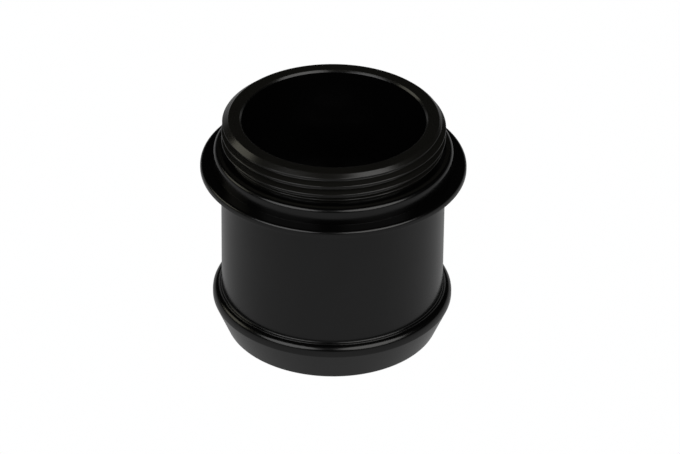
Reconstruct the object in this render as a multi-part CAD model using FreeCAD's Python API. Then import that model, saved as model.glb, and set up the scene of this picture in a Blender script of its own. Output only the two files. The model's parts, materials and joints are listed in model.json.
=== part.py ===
"""Laser collimator that plugs into a 1.25 inch telescope focuser, in millimetres.

The outside is one turned, black anodised casing: a guide bead with a tapered nose, an undercut
barrel, a stop flange, a collar and a helical male thread round an open bore. The nose holds a
window, the bore holds a laser module on a tilting plate, and above it a coin cell under a
screw-in cover that carries the push button.

The origin is the centre of the nose rim and +Z runs along the axis towards the threaded end.
The laser shines out of the nose, along -Z.
"""
import FreeCAD, Part
import math
import os

Vec = FreeCAD.Vector

# ---------------------------------------------------------------- driving dimensions
# Casing, outside, from the nose up
BEAD_R = 31.75 / 2            # guide bead, sized for a 1.25 inch drawtube
NOSE_RIM_R = 13.97
NOSE_EDGE_ROUND = 0.60
BEAD_CYL_BOTTOM_Z = 4.48
BEAD_FOOT_ROUND = 0.40
BEAD_TOP_Z = 5.92
BEAD_TOP_ROUND = 0.70
BARREL_R = 14.69
BARREL_FOOT_ROUND = 0.25
FLANGE_R = 17.44
FLANGE_BOTTOM_Z = 23.87
FLANGE_FOOT_ROUND = 0.12
FLANGE_TOP_Z = 24.79
FLANGE_TOP_ROUND = 0.32
COLLAR_R = 15.67
COLLAR_TOP_Z = 27.02
COLLAR_TOP_ROUND = 0.62
THREAD_CREST_R = 14.64
THREAD_PITCH = 1.25
THREAD_DEPTH = 0.767
THREAD_ROOT_FLAT = 0.28
THREAD_MOUTH_WIDTH = 1.14
THREAD_FRONT_GROOVE_Z = 30.45 # height of the topmost groove where it faces -Y
RELIEF_R = 13.83              # just under the thread's root
RELIEF_OUTER_R = 14.72        # undercut in the collar, so that a ring can sit flat on it
RELIEF_Z = (26.95, 27.20)
CASING_TOP_Z = 31.37
TOP_FACE_R = 13.72
TOP_CHAMFER_Z = 30.60
MOUTH_CHAMFER = 0.20

# Casing, inside
BORE_R = 12.01
TRAY_STEP_Z = 10.20
LOWER_BORE_R = 11.50
LEDGE_TOP_Z = 4.60
LEDGE_BOTTOM_Z = 2.60
LEDGE_BORE_R = 6.00
NOSE_RECESS_R = 10.50

# Nose glazing
RETAINER_R = 10.45
RETAINER_BORE_R = 8.60
RETAINER_Z = (0.25, 1.05)
WINDOW_R = 10.20
WINDOW_Z = (1.05, 1.95)
GASKET_CENTRE_R = 9.60
APERTURE_DISC_R = 5.97
APERTURE_DISC_Z = (2.60, 3.20)
APERTURE_HOLE_R = 1.60

# Laser module on its tilting plate
PLATE_R = 11.05
PLATE_Z = (5.40, 6.70)
PIVOT_RING_CENTRE_R = 10.60
MODULE_R = 4.00
MODULE_BOTTOM_Z = 3.50
MODULE_TOP_Z = 9.90
MODULE_FLANGE_R = 5.20
MODULE_FLANGE_H = 0.60
LENS_BORE_R = 2.50
DIODE_SEAT_Z = 8.20
BOARD_SEAT_Z = 9.30
DIODE_R = 2.80
DIODE_FLANGE_H = 1.00
DIODE_CAP_R = 1.78
DIODE_CAP_H = 2.30
DIODE_PIN_R = 0.22
DIODE_PIN_CIRCLE_R = 1.00
BOARD_R = 3.40
CELL_R = 2.46                 # brass lens cell
CELL_Z = (3.80, 5.60)
CELL_LIP_H = 0.50
CELL_APERTURE_R = 1.50
LENS_R = 1.95
LENS_SPHERE_R = 4.45
LENS_Z = (4.05, 5.00)

# Alignment screws
SCREW_COUNT = 3
SCREW_CIRCLE_R = 8.60
SCREW_SHANK_R = 1.00
SCREW_TIP_Z = 3.25
SCREW_HEAD_R = 1.75
SCREW_HEAD_Z = (7.00, 8.20)
SCREW_HOLE_R = 1.05
SCREW_HOLE_BOTTOM_Z = 2.95
PLATE_HOLE_R = 1.35
WASHER_R = 2.00
WASHER_Z = (6.75, 6.95)

# Battery stack
TRAY_R = 11.85
TRAY_POCKET_R = 10.15
TRAY_FLOOR_Z = (10.50, 11.20)
TRAY_TOP_Z = 14.30
TRAY_HOLE_R = 3.20
COIN_R = 10.00
COIN_Z = (11.20, 14.40)
CONTACT_Z = (14.42, 14.62)

# Screw-in cover with its push button
COVER_R = 10.50
COVER_Z = (14.65, 15.30)
BOSS_R = 5.40
BOSS_POCKET_R = 4.50
BOSS_TOP_Z = 18.90
BOSS_ROOF_H = 0.80
SWITCH_SIDE = 6.00
SWITCH_Z = (14.65, 16.00)
BUTTON_R = 2.60
BUTTON_HOLE_R = 2.65
BUTTON_TOP_Z = 19.90
BUTTON_FLANGE_R = 3.60
BUTTON_FLANGE_Z = (17.30, 18.05)
BUTTON_STEM_R = 1.00
BUTTON_STEM_BOTTOM_Z = 15.90
RING_R = 11.94
RING_SKIRT_BORE_R = 10.60
RING_LIP_BORE_R = 9.20
RING_Z = (14.45, 15.90)
RING_LIP_BOTTOM_Z = 15.35


# ---------------------------------------------------------------- geometry helpers
def outline_edges(corners):
    """Closed outline in the XZ plane; a corner is (x, z) or (x, z, rounding radius)."""
    places = [Vec(corner[0], 0, corner[1]) for corner in corners]
    radii = [corner[2] if len(corner) > 2 else 0.0 for corner in corners]
    joints = []
    for i, place in enumerate(places):
        if radii[i] == 0.0:
            joints.append((place, place, None))
            continue
        back = (places[i - 1] - place).normalize()
        ahead = (places[(i + 1) % len(places)] - place).normalize()
        half_turn = back.getAngle(ahead) / 2
        start = place + back * (radii[i] / math.tan(half_turn))
        end = place + ahead * (radii[i] / math.tan(half_turn))
        bisector = (back + ahead).normalize()
        middle = place + bisector * (radii[i] / math.sin(half_turn) - radii[i])
        joints.append((start, end, middle))
    edges = []
    for i, (start, end, middle) in enumerate(joints):
        if middle is not None:
            edges.append(Part.Arc(start, middle, end).toShape())
        following = joints[(i + 1) % len(joints)][0]
        if end.distanceToPoint(following) > 1e-6:
            edges.append(Part.LineSegment(end, following).toShape())
    return edges


def turned(corners):
    """Solid of revolution about Z from a closed outline of (radius, z) corners."""
    face = Part.Face(Part.Wire(outline_edges(corners)))
    return face.revolve(Vec(0, 0, 0), Vec(0, 0, 1), 360)


def rod(radius, z_low, z_high, x=0.0, y=0.0):
    return Part.makeCylinder(radius, z_high - z_low, Vec(x, y, z_low))


def block(size_x, size_y, z_low, z_high, x=0.0, y=0.0):
    return Part.makeBox(size_x, size_y, z_high - z_low, Vec(x - size_x / 2, y - size_y / 2, z_low))


def washer(outer_r, inner_r, z_low, z_high, edge_break=0.0):
    """Flat ring whose four edges are rounded by edge_break."""
    return turned([
        (inner_r, z_low, edge_break),
        (outer_r, z_low, edge_break),
        (outer_r, z_high, edge_break),
        (inner_r, z_high, edge_break),
    ])


def turned_about_z(shape, degrees):
    copy = shape.copy()
    copy.rotate(Vec(0, 0, 0), Vec(0, 0, 1), degrees)
    return copy


def on_circle(radius, degrees):
    return radius * math.cos(math.radians(degrees)), radius * math.sin(math.radians(degrees))


def swept_along_helix(section, pitch, height, radius, z_start, cone_angle=0.0):
    """Sweep a closed section, drawn in the XZ plane at x = radius, along a right-hand helix."""
    helix = Part.makeLongHelix(pitch, height, radius, cone_angle)
    helix.translate(Vec(0, 0, z_start))
    return Part.Wire(helix.Edges).makePipeShell([section], True, True)


def coil_spring(coil_r, wire_r, z_low, z_high, turns, cone_angle=0.0):
    """Round-wire compression spring between two heights, measured outside its wire."""
    height = z_high - z_low - 2 * wire_r
    circle = Part.Circle(Vec(coil_r, 0, z_low + wire_r), Vec(0, 1, 0), wire_r)
    section = Part.Wire(circle.toShape())
    return swept_along_helix(section, height / turns, height, coil_r, z_low + wire_r, cone_angle)


# ---------------------------------------------------------------- casing
def thread_groove():
    """Trapezoid groove wound right-handed; it starts in the relief and runs out of the top."""
    # Only just outside the crest, so that neighbouring turns of the cutter don't overlap.
    outside_r = THREAD_CREST_R + 0.05
    flank_slope = (THREAD_MOUTH_WIDTH - THREAD_ROOT_FLAT) / 2 / THREAD_DEPTH
    mouth_half = THREAD_ROOT_FLAT / 2 + flank_slope * (outside_r - THREAD_CREST_R + THREAD_DEPTH)
    root_r = THREAD_CREST_R - THREAD_DEPTH
    turns = 5
    # The helix starts at +X, a quarter turn past -Y, so there the groove is a quarter pitch up.
    z_start = THREAD_FRONT_GROOVE_Z + THREAD_PITCH / 4 - 3 * THREAD_PITCH
    corners = [
        (root_r, z_start - THREAD_ROOT_FLAT / 2),
        (outside_r, z_start - mouth_half),
        (outside_r, z_start + mouth_half),
        (root_r, z_start + THREAD_ROOT_FLAT / 2),
    ]
    section = Part.Wire(outline_edges(corners))
    groove = swept_along_helix(section, THREAD_PITCH, turns * THREAD_PITCH, root_r, z_start)
    return groove.common(rod(outside_r + 1, COLLAR_TOP_Z, CASING_TOP_Z + 1))


def casing():
    body = turned([
        (NOSE_RECESS_R, 0),
        (NOSE_RIM_R, 0, NOSE_EDGE_ROUND),
        (BEAD_R, BEAD_CYL_BOTTOM_Z, BEAD_FOOT_ROUND),
        (BEAD_R, BEAD_TOP_Z, BEAD_TOP_ROUND),
        (BARREL_R, BEAD_TOP_Z, BARREL_FOOT_ROUND),
        (BARREL_R, FLANGE_BOTTOM_Z, 0.10),
        (FLANGE_R, FLANGE_BOTTOM_Z, FLANGE_FOOT_ROUND),
        (FLANGE_R, FLANGE_TOP_Z, FLANGE_TOP_ROUND),
        (COLLAR_R, FLANGE_TOP_Z),
        (COLLAR_R, COLLAR_TOP_Z, COLLAR_TOP_ROUND),
        (RELIEF_OUTER_R, COLLAR_TOP_Z),
        (RELIEF_OUTER_R, RELIEF_Z[0]),
        (RELIEF_R, RELIEF_Z[0]),
        (RELIEF_R, RELIEF_Z[1]),
        (THREAD_CREST_R, RELIEF_Z[1] + THREAD_CREST_R - RELIEF_R),
        (THREAD_CREST_R, TOP_CHAMFER_Z),
        (TOP_FACE_R, CASING_TOP_Z),
        (BORE_R + MOUTH_CHAMFER, CASING_TOP_Z),
        (BORE_R, CASING_TOP_Z - MOUTH_CHAMFER),
        (BORE_R, TRAY_STEP_Z),
        (LOWER_BORE_R, TRAY_STEP_Z),
        (LOWER_BORE_R, LEDGE_TOP_Z),
        (LEDGE_BORE_R, LEDGE_TOP_Z),
        (LEDGE_BORE_R, LEDGE_BOTTOM_Z),
        (NOSE_RECESS_R, LEDGE_BOTTOM_Z),
    ])
    body = body.cut(thread_groove())
    for angle in screw_angles():
        x, y = on_circle(SCREW_CIRCLE_R, angle)
        body = body.cut(rod(SCREW_HOLE_R, SCREW_HOLE_BOTTOM_Z, LEDGE_TOP_Z + 1, x, y))
    return body


# ---------------------------------------------------------------- nose glazing
def spanner_slots(ring_r, bore_r, z_low, z_high, count, width):
    """Radial slots across a ring, spaced evenly from +X."""
    slots = []
    length = ring_r - bore_r + 2
    for i in range(count):
        slot = block(length, width, z_low, z_high, (ring_r + bore_r) / 2)
        slots.append(turned_about_z(slot, 360 * i / count))
    return slots


def window_retainer():
    low, high = RETAINER_Z
    ring = washer(RETAINER_R, RETAINER_BORE_R, low, high, 0.10)
    for slot in spanner_slots(RETAINER_R, RETAINER_BORE_R, low - 1, low + 0.40, 2, 1.20):
        ring = ring.cut(slot)
    return ring


def nose_window():
    low, high = WINDOW_Z
    bevel = 0.15
    return turned([
        (0, low),
        (WINDOW_R - bevel, low),
        (WINDOW_R, low + bevel),
        (WINDOW_R, high - bevel),
        (WINDOW_R - bevel, high),
        (0, high),
    ])


def window_gasket():
    tube_r = (LEDGE_BOTTOM_Z - WINDOW_Z[1]) / 2
    return Part.makeTorus(GASKET_CENTRE_R, tube_r, Vec(0, 0, WINDOW_Z[1] + tube_r), Vec(0, 0, 1))


def aperture_stop():
    """Disc pressed into the ledge; its hole is sharp at the bottom and flared inside."""
    low, high = APERTURE_DISC_Z
    return turned([
        (APERTURE_HOLE_R, low),
        (APERTURE_DISC_R, low),
        (APERTURE_DISC_R, high),
        (APERTURE_HOLE_R + high - low, high),
    ])


# ---------------------------------------------------------------- laser module
def alignment_plate():
    low, high = PLATE_Z
    plate = washer(PLATE_R, MODULE_R, low, high, 0.15)
    for angle in screw_angles():
        x, y = on_circle(SCREW_CIRCLE_R, angle)
        plate = plate.cut(rod(PLATE_HOLE_R, low - 1, high + 1, x, y))
    return plate


def pivot_ring():
    tube_r = (PLATE_Z[0] - LEDGE_TOP_Z) / 2
    return Part.makeTorus(PIVOT_RING_CENTRE_R, tube_r, Vec(0, 0, LEDGE_TOP_Z + tube_r), Vec(0, 0, 1))


def module_housing():
    flange_low = PLATE_Z[1]
    flange_high = flange_low + MODULE_FLANGE_H
    return turned([
        (LENS_BORE_R, MODULE_BOTTOM_Z),
        (MODULE_R, MODULE_BOTTOM_Z, 0.25),
        (MODULE_R, flange_low),
        (MODULE_FLANGE_R, flange_low),
        (MODULE_FLANGE_R, flange_high, 0.15),
        (MODULE_R, flange_high),
        (MODULE_R, MODULE_TOP_Z, 0.15),
        (BOARD_R + 0.05, MODULE_TOP_Z),
        (BOARD_R + 0.05, BOARD_SEAT_Z),
        (DIODE_R + 0.05, BOARD_SEAT_Z),
        (DIODE_R + 0.05, DIODE_SEAT_Z),
        (LENS_BORE_R, DIODE_SEAT_Z),
    ])


def lens_cell():
    low, high = CELL_Z
    cell = turned([
        (CELL_APERTURE_R, low),
        (CELL_R, low, 0.15),
        (CELL_R, high, 0.10),
        (LENS_R + 0.05, high),
        (LENS_R + 0.05, low + CELL_LIP_H),
        (CELL_APERTURE_R, low + CELL_LIP_H),
    ])
    for slot in spanner_slots(CELL_R, CELL_APERTURE_R, low - 1, low + 0.30, 2, 0.50):
        cell = cell.cut(slot)
    return cell


def collimating_lens():
    """Plano-convex lens, its convex side towards the nose."""
    low, high = LENS_Z
    edge_sag = LENS_SPHERE_R - math.sqrt(LENS_SPHERE_R ** 2 - LENS_R ** 2)
    mid_r = LENS_R / 2
    mid_sag = LENS_SPHERE_R - math.sqrt(LENS_SPHERE_R ** 2 - mid_r ** 2)
    vertex = Vec(0, 0, low)
    edge = Vec(LENS_R, 0, low + edge_sag)
    rim = Vec(LENS_R, 0, high)
    centre = Vec(0, 0, high)
    outline = [
        Part.Arc(vertex, Vec(mid_r, 0, low + mid_sag), edge).toShape(),
        Part.LineSegment(edge, rim).toShape(),
        Part.LineSegment(rim, centre).toShape(),
        Part.LineSegment(centre, vertex).toShape(),
    ]
    return Part.Face(Part.Wire(outline)).revolve(Vec(0, 0, 0), Vec(0, 0, 1), 360)


def lens_spring():
    return coil_spring(2.20, 0.15, CELL_Z[1], DIODE_SEAT_Z, 3.5)


def laser_diode():
    """Metal can: seat flange, cap with a recessed window towards the lens, three pins."""
    cap_low = DIODE_SEAT_Z - DIODE_CAP_H
    flange_high = DIODE_SEAT_Z + DIODE_FLANGE_H
    can = turned([
        (0, cap_low + 0.15),
        (0.80, cap_low + 0.15),
        (0.80, cap_low),
        (DIODE_CAP_R, cap_low, 0.25),
        (DIODE_CAP_R, DIODE_SEAT_Z),
        (DIODE_R, DIODE_SEAT_Z),
        (DIODE_R, flange_high, 0.10),
        (0, flange_high),
    ])
    for angle in (90, 210, 330):
        x, y = on_circle(DIODE_PIN_CIRCLE_R, angle)
        can = can.fuse(rod(DIODE_PIN_R, flange_high - 0.10, MODULE_TOP_Z + 0.25, x, y))
    return can


def driver_board():
    board = rod(BOARD_R, BOARD_SEAT_Z, MODULE_TOP_Z)
    for angle in (90, 210, 330):
        x, y = on_circle(DIODE_PIN_CIRCLE_R, angle)
        board = board.cut(rod(DIODE_PIN_R + 0.06, BOARD_SEAT_Z - 1, MODULE_TOP_Z + 1, x, y))
    return board


def driver_parts():
    """Regulator, two resistors and a capacitor, each soldered round the board's edge."""
    place_r = 2.62
    sizes = {30: (0.90, 1.30, 0.45), 135: (0.50, 1.00, 0.35), 180: (0.50, 1.00, 0.35), 270: (0.80, 1.20, 0.45)}
    solids = []
    for angle, (radial, tangential, height) in sizes.items():
        body = block(radial, tangential, MODULE_TOP_Z, MODULE_TOP_Z + height, place_r)
        solids.append(turned_about_z(body, angle))
    return Part.makeCompound(solids)


def contact_spring():
    """Conical spring that carries the cell's negative face to the driver board."""
    return coil_spring(1.80, 0.13, MODULE_TOP_Z, COIN_Z[0] - 0.15, 3, -24)


# ---------------------------------------------------------------- alignment screws
def screw_angles():
    """The adjusting screw is at +Y; the two beside it carry the plate's pivot line."""
    return [90 + 360 * i / SCREW_COUNT for i in range(SCREW_COUNT)]


def alignment_screw(angle):
    low, high = SCREW_HEAD_Z
    screw = turned([
        (0, SCREW_TIP_Z),
        (SCREW_SHANK_R, SCREW_TIP_Z, 0.20),
        (SCREW_SHANK_R, low),
        (SCREW_HEAD_R, low, 0.10),
        (SCREW_HEAD_R, high, 0.25),
        (0, high),
    ])
    socket_side_r = 1.30 / math.sqrt(3)
    corners = [Vec(*on_circle(socket_side_r, 60 * i), high - 0.70) for i in range(6)]
    hexagon = Part.Face(Part.makePolygon(corners + corners[:1]))
    screw = screw.cut(hexagon.extrude(Vec(0, 0, 1)))
    x, y = on_circle(SCREW_CIRCLE_R, angle)
    screw.translate(Vec(x, y, 0))
    return screw


def screw_washer(angle):
    ring = washer(WASHER_R, PLATE_HOLE_R - 0.05, WASHER_Z[0], WASHER_Z[1])
    x, y = on_circle(SCREW_CIRCLE_R, angle)
    ring.translate(Vec(x, y, 0))
    return ring


# ---------------------------------------------------------------- battery stack
def battery_tray():
    """Cup on the bore's step; a hole lets the contact spring through, notches free the cell."""
    low, high = TRAY_FLOOR_Z
    tray = turned([
        (TRAY_HOLE_R, low),
        (LOWER_BORE_R - 0.9, low),
        (LOWER_BORE_R - 0.9, TRAY_STEP_Z),
        (TRAY_R, TRAY_STEP_Z),
        (TRAY_R, TRAY_TOP_Z, 0.20),
        (TRAY_POCKET_R, TRAY_TOP_Z, 0.20),
        (TRAY_POCKET_R, high),
        (TRAY_HOLE_R, high),
    ])
    notch = block(4.0, 5.0, high + 0.8, TRAY_TOP_Z + 1, TRAY_R - 0.4)
    for angle in (45, 225):
        tray = tray.cut(turned_about_z(notch, angle))
    return tray


def coin_cell():
    """Ø20 x 3.2 lithium cell, its smaller negative cap downwards."""
    low, high = COIN_Z
    return turned([
        (0, low),
        (8.80, low, 0.20),
        (8.80, low + 0.35),
        (COIN_R - 0.10, low + 0.35),
        (COIN_R, low + 0.50),
        (COIN_R, high, 0.35),
        (0, high),
    ])


def positive_contact():
    """Sprung star on the underside of the cover."""
    low, high = CONTACT_Z
    star = rod(3.40, low, high)
    for i in range(3):
        arm = block(6.2, 2.4, low, high, 4.9)
        tip = rod(1.20, low, high, 8.0)
        star = star.fuse(turned_about_z(arm.fuse(tip), 30 + 120 * i))
    return star.removeSplitter()


# ---------------------------------------------------------------- cover and button
def battery_cover():
    low, high = COVER_Z
    roof_low = BOSS_TOP_Z - BOSS_ROOF_H
    return turned([
        (BOSS_POCKET_R, low),
        (COVER_R, low, 0.10),
        (COVER_R, high, 0.10),
        (BOSS_R, high, 0.40),
        (BOSS_R, BOSS_TOP_Z, 0.35),
        (BUTTON_HOLE_R, BOSS_TOP_Z),
        (BUTTON_HOLE_R, roof_low),
        (BOSS_POCKET_R, roof_low),
    ])


def switch_body():
    low, high = SWITCH_Z
    body = block(SWITCH_SIDE, SWITCH_SIDE, low, high)
    upright = [edge for edge in body.Edges if abs(edge.tangentAt(edge.FirstParameter).z) > 0.9]
    body = body.makeFillet(0.40, upright)
    return body.cut(rod(BUTTON_STEM_R + 0.08, low + 0.60, high + 1))


def power_button():
    """Dished cap above a flange that the cover's roof holds in, on a short stem."""
    flange_low, flange_high = BUTTON_FLANGE_Z
    return turned([
        (0, BUTTON_STEM_BOTTOM_Z),
        (BUTTON_STEM_R, BUTTON_STEM_BOTTOM_Z),
        (BUTTON_STEM_R, flange_low),
        (BUTTON_FLANGE_R, flange_low),
        (BUTTON_FLANGE_R, flange_high),
        (BUTTON_R, flange_high),
        (BUTTON_R, BUTTON_TOP_Z, 0.30),
        (1.90, BUTTON_TOP_Z, 0.15),
        (1.40, BUTTON_TOP_Z - 0.25, 0.40),
        (0, BUTTON_TOP_Z - 0.25),
    ])


def button_spring():
    return coil_spring(2.40, 0.13, SWITCH_Z[1], BUTTON_FLANGE_Z[0], 2.5)


def cover_ring():
    """Screw-in ring: its lip holds the cover down, four slots take a spanner."""
    low, high = RING_Z
    ring = turned([
        (RING_SKIRT_BORE_R, low),
        (RING_R, low, 0.10),
        (RING_R, high, 0.10),
        (RING_LIP_BORE_R, high, 0.10),
        (RING_LIP_BORE_R, RING_LIP_BOTTOM_Z),
        (RING_SKIRT_BORE_R, RING_LIP_BOTTOM_Z),
    ])
    for slot in spanner_slots(RING_R + 1, RING_LIP_BORE_R, high - 0.35, high + 1, 4, 1.30):
        ring = ring.cut(slot)
    return ring


# ---------------------------------------------------------------- write the nodes
def main():
    angle_a, angle_b, angle_c = screw_angles()
    nodes = {
        "casing": casing(),
        "window_retainer": window_retainer(),
        "nose_window": nose_window(),
        "window_gasket": window_gasket(),
        "aperture_stop": aperture_stop(),
        "pivot_ring": pivot_ring(),
        "alignment_plate": alignment_plate(),
        "module_housing": module_housing(),
        "lens_cell": lens_cell(),
        "collimating_lens": collimating_lens(),
        "lens_spring": lens_spring(),
        "laser_diode": laser_diode(),
        "driver_board": driver_board(),
        "driver_parts": driver_parts(),
        "contact_spring": contact_spring(),
        "adjusting_screw": alignment_screw(angle_a),
        "adjusting_washer": screw_washer(angle_a),
        "pivot_screw_left": alignment_screw(angle_b),
        "pivot_screw_right": alignment_screw(angle_c),
        "pivot_washers": Part.makeCompound([screw_washer(angle_b), screw_washer(angle_c)]),
        "battery_tray": battery_tray(),
        "coin_cell": coin_cell(),
        "positive_contact": positive_contact(),
        "battery_cover": battery_cover(),
        "cover_ring": cover_ring(),
        "switch_body": switch_body(),
        "button_spring": button_spring(),
        "power_button": power_button(),
    }
    os.makedirs("parts", exist_ok=True)
    for name, shape in nodes.items():
        shape.exportStep("parts/" + name + ".step")
        print(name, "valid", shape.isValid(), "solids", len(shape.Solids), "volume", round(shape.Volume, 3))


main()
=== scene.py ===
"""Looks, lights and camera for the laser collimator. +Z is the part's axis, -Y its front.

The casing is black anodised aluminium off a lathe, standing on its nose rim on a white table. A
finely divided skin stands for it; everything inside keeps the frame's own shapes and gets its
finish here. Lengths are in metres, except where a heading or a comment says millimetres.
"""
import json
import math

import bpy
from mathutils import Matrix, Vector


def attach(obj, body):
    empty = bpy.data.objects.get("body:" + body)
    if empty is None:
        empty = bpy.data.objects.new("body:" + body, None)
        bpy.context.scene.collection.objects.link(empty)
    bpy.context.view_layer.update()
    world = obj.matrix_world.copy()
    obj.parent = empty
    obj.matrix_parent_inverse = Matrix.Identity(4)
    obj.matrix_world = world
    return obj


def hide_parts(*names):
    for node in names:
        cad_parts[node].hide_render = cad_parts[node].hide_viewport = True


MM = 0.001

# ---------------------------------------------------------------- casing, in millimetres
RING_POINTS = 288             # points on each ring round the axis
ROUND_STEPS = 6               # faces across each rounded corner
EDGE_BREAK = 0.04             # every corner that has no round of its own
BEAD_R = 15.875               # guide bead, 1.25 inch across
NOSE_RIM_R = 13.97
NOSE_EDGE_ROUND = 0.60
BEAD_CYL_BOTTOM_Z = 4.48
BEAD_FOOT_ROUND = 0.40
BEAD_TOP_Z = 5.92
BEAD_TOP_ROUND = 0.95
BARREL_R = 14.69
BARREL_FOOT_ROUND = 0.25
BARREL_TOP_ROUND = 0.10
FLANGE_R = 17.44
FLANGE_BOTTOM_Z = 23.87
FLANGE_FOOT_ROUND = 0.12
FLANGE_TOP_Z = 24.79
FLANGE_TOP_ROUND = 0.45
COLLAR_R = 15.67
COLLAR_FOOT_ROUND = 0.01
COLLAR_TOP_Z = 27.02
COLLAR_TOP_ROUND = 0.62
THREAD_CREST_R = 14.64
THREAD_PITCH = 1.25
THREAD_DEPTH = 0.767
THREAD_ROOT_FLAT = 0.28
THREAD_MOUTH_WIDTH = 1.14
THREAD_FLANK_SLOPE = (THREAD_MOUTH_WIDTH - THREAD_ROOT_FLAT) / 2 / THREAD_DEPTH
THREAD_FRONT_GROOVE_Z = 30.45  # height of the topmost groove where it faces -Y
CREST_ROUND = 0.02
RELIEF_R = 13.83              # just under the thread's root
RELIEF_OUTER_R = 14.72        # undercut in the collar, so that a ring can sit flat on it
RELIEF_Z = (26.95, 27.20)
RELIEF_ROUND = 0.02
CASING_TOP_Z = 31.37
TOP_FACE_R = 13.72
TOP_FACE_ROUND = 0.01
TOP_CHAMFER_Z = 30.60
TOP_CHAMFER_SLOPE = (THREAD_CREST_R - TOP_FACE_R) / (CASING_TOP_Z - TOP_CHAMFER_Z)
MOUTH_CHAMFER = 0.27
MOUTH_ROUND = 0.10
BORE_R = 12.01
TRAY_STEP_Z = 10.20
LOWER_BORE_R = 11.50
LEDGE_TOP_Z = 4.60
LEDGE_BOTTOM_Z = 2.60
LEDGE_BORE_R = 6.00
NOSE_RECESS_R = 10.50
SEAM_Z = (0.20, 0.30)         # the closed outline starts and ends on the nose recess's wall
THREAD_ZONE = (27.00, 31.34)  # the heights that follow thread_radius, in rows
THREAD_ROW = 0.04
THREAD_ZONE_GAP = 0.02        # from the rows to the plain outline below and above them
# The outline below and above the thread: (radius, height, rounding)
NOSE_TO_COLLAR = (
    (NOSE_RECESS_R, SEAM_Z[0]),
    (NOSE_RECESS_R, 0.0, EDGE_BREAK),
    (NOSE_RIM_R, 0.0, NOSE_EDGE_ROUND),
    (BEAD_R, BEAD_CYL_BOTTOM_Z, BEAD_FOOT_ROUND),
    (BEAD_R, BEAD_TOP_Z, BEAD_TOP_ROUND),
    (BARREL_R, BEAD_TOP_Z, BARREL_FOOT_ROUND),
    (BARREL_R, FLANGE_BOTTOM_Z, BARREL_TOP_ROUND),
    (FLANGE_R, FLANGE_BOTTOM_Z, FLANGE_FOOT_ROUND),
    (FLANGE_R, FLANGE_TOP_Z, FLANGE_TOP_ROUND),
    (COLLAR_R, FLANGE_TOP_Z, COLLAR_FOOT_ROUND),
    (COLLAR_R, COLLAR_TOP_Z, COLLAR_TOP_ROUND),
    (RELIEF_OUTER_R, COLLAR_TOP_Z, RELIEF_ROUND),
    (RELIEF_OUTER_R, RELIEF_Z[0], RELIEF_ROUND),
    (RELIEF_R, RELIEF_Z[0], RELIEF_ROUND),
    (RELIEF_R, THREAD_ZONE[0] - THREAD_ZONE_GAP),
)
RIM_TO_NOSE = (
    (TOP_FACE_R, THREAD_ZONE[1] + THREAD_ZONE_GAP),
    (TOP_FACE_R - THREAD_ZONE_GAP, CASING_TOP_Z, TOP_FACE_ROUND),
    (BORE_R + MOUTH_CHAMFER, CASING_TOP_Z, MOUTH_ROUND),
    (BORE_R, CASING_TOP_Z - MOUTH_CHAMFER, MOUTH_ROUND),
    (BORE_R, TRAY_STEP_Z, EDGE_BREAK),
    (LOWER_BORE_R, TRAY_STEP_Z, EDGE_BREAK),
    (LOWER_BORE_R, LEDGE_TOP_Z, EDGE_BREAK),
    (LEDGE_BORE_R, LEDGE_TOP_Z, EDGE_BREAK),
    (LEDGE_BORE_R, LEDGE_BOTTOM_Z, EDGE_BREAK),
    (NOSE_RECESS_R, LEDGE_BOTTOM_Z, EDGE_BREAK),
    (NOSE_RECESS_R, SEAM_Z[1]),
)

# ---------------------------------------------------------------- camera
CAMERA_ELEVATION = 32.58      # degrees, like the roll
CAMERA_DISTANCE = 0.5958      # from TARGET
CAMERA_LENS = 239.0           # millimetres, like the sensor's width
CAMERA_SENSOR = 36.0
CAMERA_CLIP = (0.01, 20.0)
CAMERA_ROLL = 0.634
TARGET = Vector((0, 0, 15 * MM))
AIM_RIGHT = 0.959 * MM        # the camera looks this far to the right of TARGET, and below it
AIM_DOWN = 0.425 * MM

# ---------------------------------------------------------------- table and studio light
TABLE_HALF = 4.0
TABLE_GAP = 0.01 * MM
TABLE_GLOW = 1.0
TABLE_WHITES = ((1.0, 1.0, 1.0), (0.995, 0.997, 1.0))
TABLE_HAZE_PER_MM = 0.002
# (name, azimuth from the front towards +X, elevation, width, height, radiance, colour)
SOFTBOXES = (
    ("softbox_left", -44, 39, 1.15, 0.90, 6.1, (1.0, 1.0, 1.0)),
    ("softbox_right", 44, 44, 1.28, 1.06, 6.3, (1.0, 0.99, 0.97)),
    ("window_left", -108, 30, 0.75, 0.50, 3.6, (1.0, 0.97, 0.80)),
)
SOFTBOX_DISTANCE = 1.3
# (sine of the elevation, radiance): pale up to the first, dark from the second on
ROOM = ((0.06, 0.85), (0.22, 0.012))

# ---------------------------------------------------------------- finishes, in millimetres
# A _SPREAD is the lowest and the highest share of a value that a finish's pattern reaches.
FINE_DETAIL = 3.0
ANODISE_COLOUR = (0.0007, 0.0007, 0.0007)
# Painted sheen: the rim, thread and collar top get this lighter colour in place of the faint light
# their top faces show.
SHEEN_PAINTED_COLOUR = (0.0036, 0.0035, 0.0030)
SHEEN_PAINTED_ABOVE = 27.0          # height and radius from which the painted sheen colour is used
SHEEN_PAINTED_OUTSIDE = 12.1
ANODISE_FADED = 0.3           # how far the darkest clouds go towards plain black
ANODISE_CLOUDS_PER_MM = 0.22
ANODISE_REFLECTION = 0.355
ANODISE_REFLECTION_SPREAD = (0.96, 1.04)
ANODISE_ROUGHNESS = 0.20
ANODISE_ROUGHNESS_SPREAD = (0.88, 1.12)
ANODISE_MARK_DEPTH = 0.0004
INNER_REFLECTION = 0.5
INNER_ROUGHNESS = 0.42
INNER_MARK_DEPTH = 0.0010
DYE_ROUGHNESS = 0.6           # under the sealed skin
SEAL_IOR = 1.5
LATHE_MARKS_PER_MM = 7.0
METAL_MARK_DEPTH = 0.0006
METAL_CLOUDS_PER_MM = 0.35
METAL_DARKEST = 0.82
METAL_ROUGHNESS_SPREAD = (0.8, 1.25)
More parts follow.
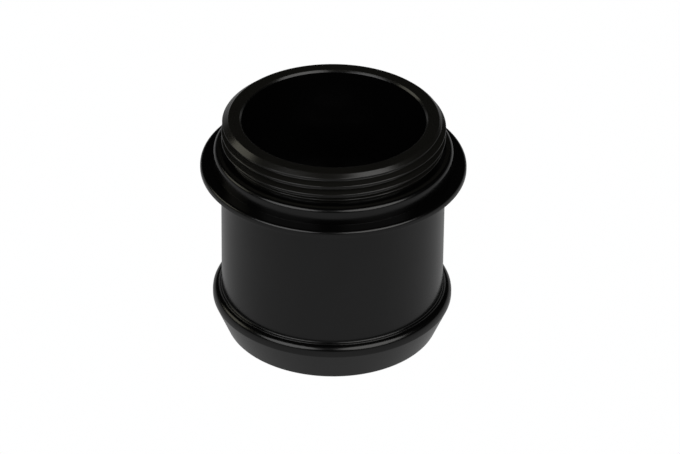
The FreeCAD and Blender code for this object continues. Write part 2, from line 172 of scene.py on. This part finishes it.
MOULDED_CLOUDS_PER_MM = 0.4
MOULDED_DARKEST = 0.8
MOULDED_ROUGHNESS_SPREAD = (0.85, 1.15)
GLASS_CLOUDS_PER_MM = 0.5
GLASS_PALEST = 1.02
GLASS_ROUGHNESS = (0.01, 0.03)
GLASS_IOR = 1.52
MASK_COLOUR = (0.012, 0.085, 0.035)
TRACK_COLOUR = (0.03, 0.17, 0.07)
TRACK_CELLS_PER_MM = 0.9
TRACK_HALF_WIDTH = 0.07       # as a share of a cell
TRACK_HEIGHT = 0.02
WEAVE_PER_MM = 6.0
BOARD_ROUGHNESS = (0.28, 0.42)


class Graph:
    """One material's node tree, with short calls for the nodes that the finishes use."""

    def __init__(self, name):
        self.material = bpy.data.materials.new(name)
        self.material.use_nodes = True
        self.tree = self.material.node_tree
        self.tree.nodes.clear()
        self.out = self.tree.nodes.new("ShaderNodeOutputMaterial")

    def node(self, kind, settings=None, **inputs):
        """A new node; settings are its properties, inputs its sockets by name (_ for a space)."""
        made = self.tree.nodes.new(kind)
        for key, value in (settings or {}).items():
            setattr(made, key, value)
        for key, value in inputs.items():
            self.set(made.inputs[key.replace("_", " ")], value)
        return made

    def set(self, socket, value):
        """Link an output socket to an input, or write a constant into it."""
        if isinstance(value, bpy.types.NodeSocket):
            self.tree.links.new(value, socket)
        else:
            socket.default_value = value

    def math(self, operation, a, b=0.0):
        made = self.tree.nodes.new("ShaderNodeMath")
        made.operation = operation
        self.set(made.inputs[0], a)
        self.set(made.inputs[1], b)
        return made.outputs[0]

    def place(self):
        """Position in the part's frame, in millimetres."""
        where = self.node("ShaderNodeTexCoord").outputs["Object"]
        scaled = self.node("ShaderNodeVectorMath", {"operation": "SCALE"}, Scale=1 / MM)
        self.set(scaled.inputs[0], where)
        return scaled.outputs[0]

    def radius_and_height(self, place):
        """Distance from the part's axis, and height, in millimetres."""
        x, y, height = self.node("ShaderNodeSeparateXYZ", Vector=place).outputs
        squares = self.math("ADD", self.math("MULTIPLY", x, x), self.math("MULTIPLY", y, y))
        return self.math("SQRT", squares), height

    def noise(self, place, scale, detail=2.0):
        made = self.node("ShaderNodeTexNoise", Vector=place, Scale=scale, Detail=detail)
        return made.outputs["Fac"]

    def spread(self, share, low, high):
        """Map a 0 to 1 pattern onto low to high."""
        made = self.node("ShaderNodeMapRange", Value=share)
        self.set(made.inputs["To Min"], low)
        self.set(made.inputs["To Max"], high)
        return made.outputs[0]

    def vary(self, share, value, spread):
        """A value that a 0 to 1 pattern takes between the two shares of it in spread."""
        return self.spread(share, value * spread[0], value * spread[1])

    def mix_colour(self, share, first, second):
        """Blend two colours; a Mix node's colour sockets can only be told apart by number."""
        made = self.node("ShaderNodeMix", {"data_type": "RGBA"})
        self.set(made.inputs[0], share)
        self.set(made.inputs[6], as_colour(first))
        self.set(made.inputs[7], as_colour(second))
        return made.outputs[2]

    def bump(self, height, depth_mm):
        made = self.node("ShaderNodeBump", Strength=1.0, Distance=depth_mm * MM, Height=height)
        return made.outputs[0]

    def finish(self, **inputs):
        """Principled surface with the given inputs; returns the material."""
        surface = self.node("ShaderNodeBsdfPrincipled", **inputs)
        self.tree.links.new(surface.outputs[0], self.out.inputs["Surface"])
        return self.material


def as_colour(value):
    """RGB numbers as a colour with alpha; a socket stays as it is."""
    if isinstance(value, bpy.types.NodeSocket):
        return value
    return (*value, 1.0)


def lathe_marks(graph):
    """Fine rings left by a lathe: a pattern that changes with radius and height only."""
    radius, height = graph.radius_and_height(graph.place())
    across = graph.node("ShaderNodeCombineXYZ")
    graph.set(across.inputs[0], radius)
    graph.set(across.inputs[2], height)
    return graph.noise(across.outputs[0], LATHE_MARKS_PER_MM, FINE_DETAIL)


def turned_finish(name, colour, roughness):
    """Bare or plated metal with lathe rings and a slightly uneven tone."""
    graph = Graph(name)
    rings = lathe_marks(graph)
    cloud = graph.noise(graph.place(), METAL_CLOUDS_PER_MM)
    darker = tuple(METAL_DARKEST * c for c in colour)
    return graph.finish(
        Base_Color=graph.mix_colour(cloud, darker, colour),
        Metallic=1.0,
        Roughness=graph.vary(rings, roughness, METAL_ROUGHNESS_SPREAD),
        Normal=graph.bump(rings, METAL_MARK_DEPTH),
    )


def painted_sheen_share(graph):
    """1 on the rim, the thread and the collar's top face, which get a painted sheen (a lighter
    colour standing in for light), else 0.
    """
    radius, height = graph.radius_and_height(graph.place())
    above = graph.math("GREATER_THAN", height, SHEEN_PAINTED_ABOVE)
    outside = graph.math("GREATER_THAN", radius, SHEEN_PAINTED_OUTSIDE)
    return graph.math("MULTIPLY", above, outside)


def anodised_finish(name, reflection, roughness, depth_mm):
    """Black dyed oxide: almost no colour of its own, under a clear sealed skin that reflects."""
    graph = Graph(name)
    rings = lathe_marks(graph)
    cloud = graph.noise(graph.place(), ANODISE_CLOUDS_PER_MM)
    # Painted sheen: the rim, thread and collar top get a lighter base colour that stands in for the
    # faint light on the rim top.
    tone_with_painted_sheen = graph.mix_colour(painted_sheen_share(graph), ANODISE_COLOUR, SHEEN_PAINTED_COLOUR)
    darker = graph.mix_colour(ANODISE_FADED, tone_with_painted_sheen, (0.0, 0.0, 0.0))
    surface = graph.bump(rings, depth_mm)
    return graph.finish(
        Base_Color=graph.mix_colour(cloud, darker, tone_with_painted_sheen),
        Roughness=DYE_ROUGHNESS,
        Specular_IOR_Level=0.0,
        Coat_Weight=graph.vary(cloud, reflection, ANODISE_REFLECTION_SPREAD),
        Coat_Roughness=graph.vary(rings, roughness, ANODISE_ROUGHNESS_SPREAD),
        Coat_IOR=SEAL_IOR,
        Normal=surface,
        Coat_Normal=surface,
    )


def moulded_finish(name, colour, roughness, grain_per_mm, depth_mm):
    """Plastic or rubber with the fine grain of its mould."""
    graph = Graph(name)
    place = graph.place()
    grain = graph.noise(place, grain_per_mm, FINE_DETAIL)
    cloud = graph.noise(place, MOULDED_CLOUDS_PER_MM)
    darker = tuple(MOULDED_DARKEST * c for c in colour)
    return graph.finish(
        Base_Color=graph.mix_colour(cloud, darker, colour),
        Roughness=graph.vary(grain, roughness, MOULDED_ROUGHNESS_SPREAD),
        Normal=graph.bump(grain, depth_mm),
    )


def glass_finish(name, tint):
    """Coated optical glass: clear, with a faint unevenness in its polish."""
    graph = Graph(name)
    polish = graph.noise(graph.place(), GLASS_CLOUDS_PER_MM)
    paler = tuple(min(1.0, GLASS_PALEST * c) for c in tint)
    return graph.finish(
        Base_Color=graph.mix_colour(polish, tint, paler),
        Roughness=graph.spread(polish, *GLASS_ROUGHNESS),
        IOR=GLASS_IOR,
        Transmission_Weight=1.0,
    )


def board_finish(name):
    """Green solder mask, lighter where copper tracks run under it."""
    graph = Graph(name)
    place = graph.place()
    to_edge = {"feature": "DISTANCE_TO_EDGE"}
    cells = graph.node("ShaderNodeTexVoronoi", to_edge, Vector=place, Scale=TRACK_CELLS_PER_MM)
    track = graph.math("LESS_THAN", cells.outputs["Distance"], TRACK_HALF_WIDTH)
    weave = graph.noise(place, WEAVE_PER_MM)
    return graph.finish(
        Base_Color=graph.mix_colour(track, MASK_COLOUR, TRACK_COLOUR),
        Roughness=graph.spread(weave, *BOARD_ROUGHNESS),
        Normal=graph.bump(track, TRACK_HEIGHT),
    )


def make_finishes():
    """One finish for each of the record's material slots."""
    return {
        "black_anodised": anodised_finish(
            "black_anodised", ANODISE_REFLECTION, ANODISE_ROUGHNESS, ANODISE_MARK_DEPTH
        ),
        "inner_black": anodised_finish(
            "inner_black", INNER_REFLECTION, INNER_ROUGHNESS, INNER_MARK_DEPTH
        ),
        "glass": glass_finish("glass", (0.93, 0.97, 0.96)),
        "rubber": moulded_finish("rubber", (0.018, 0.018, 0.018), 0.72, 9.0, 0.004),
        "brass": turned_finish("brass", (0.72, 0.52, 0.22), 0.26),
        "steel": turned_finish("steel", (0.56, 0.56, 0.57), 0.24),
        "dark_steel": turned_finish("dark_steel", (0.06, 0.06, 0.065), 0.36),
        "nickel": turned_finish("nickel", (0.66, 0.65, 0.62), 0.20),
        "gold_can": turned_finish("gold_can", (0.80, 0.61, 0.27), 0.22),
        "board": board_finish("board"),
        "chip": moulded_finish("chip", (0.025, 0.025, 0.027), 0.45, 12.0, 0.003),
        "black_plastic": moulded_finish("black_plastic", (0.022, 0.022, 0.023), 0.5, 8.0, 0.004),
    }


def dress(frame, finishes):
    """Give every carried node the finish of its material slot."""
    for part in frame["record"]["subparts"]:
        node = frame["nodes"][part["node"]]
        node.data.materials.clear()
        node.data.materials.append(finishes[part["material_slot"]])


# ---------------------------------------------------------------- casing skin
def rounded(corners):
    """Points along a line of (radius, height, rounding) corners; its two ends stay as they are."""
    points = [corners[0][:2]]
    for before, corner, after in zip(corners, corners[1:], corners[2:]):
        place = Vector(corner[:2])
        rounding = corner[2]
        back = (Vector(before[:2]) - place).normalized()
        ahead = (Vector(after[:2]) - place).normalized()
        half_turn = back.angle(ahead) / 2
        bisector = (back + ahead).normalized()
        centre = place + bisector * (rounding / math.sin(half_turn))
        first = (place + back * (rounding / math.tan(half_turn)) - centre).normalized()
        last = (place + ahead * (rounding / math.tan(half_turn)) - centre).normalized()
        for step in range(ROUND_STEPS + 1):
            outwards = first.slerp(last, step / ROUND_STEPS)
            points.append(tuple(centre + outwards * rounding))
    points.append(corners[-1][:2])
    return points


def thread_radius(angle, height):
    """Radius of the threaded end; angle is counter-clockwise from +X, seen from above."""
    turned_part = min(
        RELIEF_R + max(0.0, height - RELIEF_Z[1]),
        THREAD_CREST_R,
        TOP_FACE_R + (CASING_TOP_Z - height) * TOP_CHAMFER_SLOPE,
    )
    groove = THREAD_FRONT_GROOVE_Z + THREAD_PITCH * (angle + math.pi / 2) / (2 * math.pi)
    off_centre = abs((height - groove + THREAD_PITCH / 2) % THREAD_PITCH - THREAD_PITCH / 2)
    flank = max(0.0, off_centre - THREAD_ROOT_FLAT / 2) / THREAD_FLANK_SLOPE
    cut_part = THREAD_CREST_R - THREAD_DEPTH + flank
    # A soft minimum rounds the crest's corners slightly, as a cutter and the oxide leave them.
    sharper = min(turned_part, cut_part)
    gap = abs(turned_part - cut_part)
    return sharper - CREST_ROUND * math.log(1 + math.exp(-gap / CREST_ROUND))


def casing_rings():
    """Rings of (radius, height) points, one pair for each angle, round the whole closed outline."""
    angles = [2 * math.pi * i / RING_POINTS for i in range(RING_POINTS)]
    rings = [[(radius, height)] * RING_POINTS for radius, height in rounded(NOSE_TO_COLLAR)]
    rows = round((THREAD_ZONE[1] - THREAD_ZONE[0]) / THREAD_ROW)
    for row in range(rows + 1):
        height = THREAD_ZONE[0] + row * (THREAD_ZONE[1] - THREAD_ZONE[0]) / rows
        rings.append([(thread_radius(angle, height), height) for angle in angles])
    rings += [[(radius, height)] * RING_POINTS for radius, height in rounded(RIM_TO_NOSE)]
    return angles, rings


def make_casing_skin(finish):
    """The casing's whole surface, turned much finer than the frame's own mesh."""
    angles, rings = casing_rings()
    points = [
        (radius * math.cos(angle) * MM, radius * math.sin(angle) * MM, height * MM)
        for ring in rings
        for angle, (radius, height) in zip(angles, ring)
    ]
    faces = []
    for ring in range(len(rings)):
        here = ring * RING_POINTS
        there = (ring + 1) % len(rings) * RING_POINTS
        for i in range(RING_POINTS):
            following = (i + 1) % RING_POINTS
            faces.append((here + i, here + following, there + following, there + i))
    mesh = bpy.data.meshes.new("casing_skin")
    mesh.from_pydata(points, [], faces)
    mesh.shade_smooth()
    mesh.materials.append(finish)
    skin = bpy.data.objects.new("casing_skin", mesh)
    bpy.context.scene.collection.objects.link(skin)
    # The wide faces set the shading beside each narrow round, so the flats stay flat.
    steady = skin.modifiers.new("steady_normals", "WEIGHTED_NORMAL")
    steady.mode = "FACE_AREA"
    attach(skin, "casing")
    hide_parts("casing")


# ---------------------------------------------------------------- stage
def make_table():
    """White light table, bright enough that nothing standing on it leaves a shadow."""
    graph = Graph("light_table")
    haze = graph.noise(graph.place(), TABLE_HAZE_PER_MM)
    glow = graph.node(
        "ShaderNodeEmission",
        Color=graph.mix_colour(haze, *TABLE_WHITES),
        Strength=TABLE_GLOW,
    )
    graph.tree.links.new(glow.outputs[0], graph.out.inputs["Surface"])
    mesh = bpy.data.meshes.new("table")
    half = TABLE_HALF
    corners = [(-half, -half, 0), (half, -half, 0), (half, half, 0), (-half, half, 0)]
    mesh.from_pydata(corners, [], [(0, 1, 2, 3)])
    mesh.materials.append(graph.material)
    table = bpy.data.objects.new("table", mesh)
    table.location.z = -TABLE_GAP
    bpy.context.scene.collection.objects.link(table)


def make_world():
    """Pale round the horizon and dark overhead, as in a room lit only by the softboxes."""
    world = bpy.data.worlds.new("studio")
    world.use_nodes = True
    nodes = world.node_tree.nodes
    links = world.node_tree.links
    where = nodes.new("ShaderNodeTexCoord")
    split = nodes.new("ShaderNodeSeparateXYZ")
    ramp = nodes.new("ShaderNodeValToRGB")
    for element, (height, brightness) in zip(ramp.color_ramp.elements, ROOM):
        element.position = height
        element.color = (brightness, brightness, brightness, 1)
    links.new(where.outputs["Generated"], split.inputs[0])
    links.new(split.outputs[2], ramp.inputs[0])
    links.new(ramp.outputs[0], nodes["Background"].inputs[0])
    bpy.context.scene.world = world


def aimed_at(target, place):
    """Matrix of a camera or lamp at place that looks at target, upright."""
    turn = (target - place).to_track_quat("-Z", "Y")
    return Matrix.Translation(place) @ turn.to_matrix().to_4x4()


def make_softboxes():
    """Elliptical area lamps aimed at the part; a lamp's power is radiance x pi x its area."""
    for name, azimuth, elevation, width, height, radiance, colour in SOFTBOXES:
        a = math.radians(azimuth)
        e = math.radians(elevation)
        area = math.pi / 4 * width * height
        away = Vector((math.sin(a) * math.cos(e), -math.cos(a) * math.cos(e), math.sin(e)))
        lamp = bpy.data.lights.new(name, "AREA")
        lamp.shape = "ELLIPSE"
        lamp.size = width
        lamp.size_y = height
        lamp.energy = radiance * math.pi * area
        lamp.color = colour
        box = bpy.data.objects.new(name, lamp)
        box.matrix_world = aimed_at(TARGET, TARGET + away * SOFTBOX_DISTANCE)
        bpy.context.scene.collection.objects.link(box)


def make_camera():
    """A long lens in front of the part, looking down at it."""
    data = bpy.data.cameras.new("camera")
    data.sensor_width = CAMERA_SENSOR
    data.lens = CAMERA_LENS
    data.clip_start = CAMERA_CLIP[0]
    data.clip_end = CAMERA_CLIP[1]
    camera = bpy.data.objects.new("camera", data)
    bpy.context.scene.collection.objects.link(camera)
    e = math.radians(CAMERA_ELEVATION)
    place = TARGET + Vector((0, -math.cos(e), math.sin(e))) * CAMERA_DISTANCE
    right = Vector((1, 0, 0))
    up = Vector((0, math.sin(e), math.cos(e)))
    aim = TARGET + right * AIM_RIGHT - up * AIM_DOWN
    camera.matrix_world = aimed_at(aim, place) @ Matrix.Rotation(math.radians(CAMERA_ROLL), 4, "Z")
    bpy.context.scene.camera = camera


# ---------------------------------------------------------------- build
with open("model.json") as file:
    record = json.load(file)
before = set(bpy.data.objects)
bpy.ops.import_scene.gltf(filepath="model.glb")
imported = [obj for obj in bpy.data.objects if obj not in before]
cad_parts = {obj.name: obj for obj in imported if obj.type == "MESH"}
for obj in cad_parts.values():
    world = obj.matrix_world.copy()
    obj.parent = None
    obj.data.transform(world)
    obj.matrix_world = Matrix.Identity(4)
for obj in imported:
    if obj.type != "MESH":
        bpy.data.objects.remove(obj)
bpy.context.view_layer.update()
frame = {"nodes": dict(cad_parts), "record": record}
finishes = make_finishes()
dress(frame, finishes)
make_casing_skin(finishes["black_anodised"])
make_table()
make_world()
make_softboxes()
make_camera()
bpy.context.scene.view_settings.view_transform = "Standard"
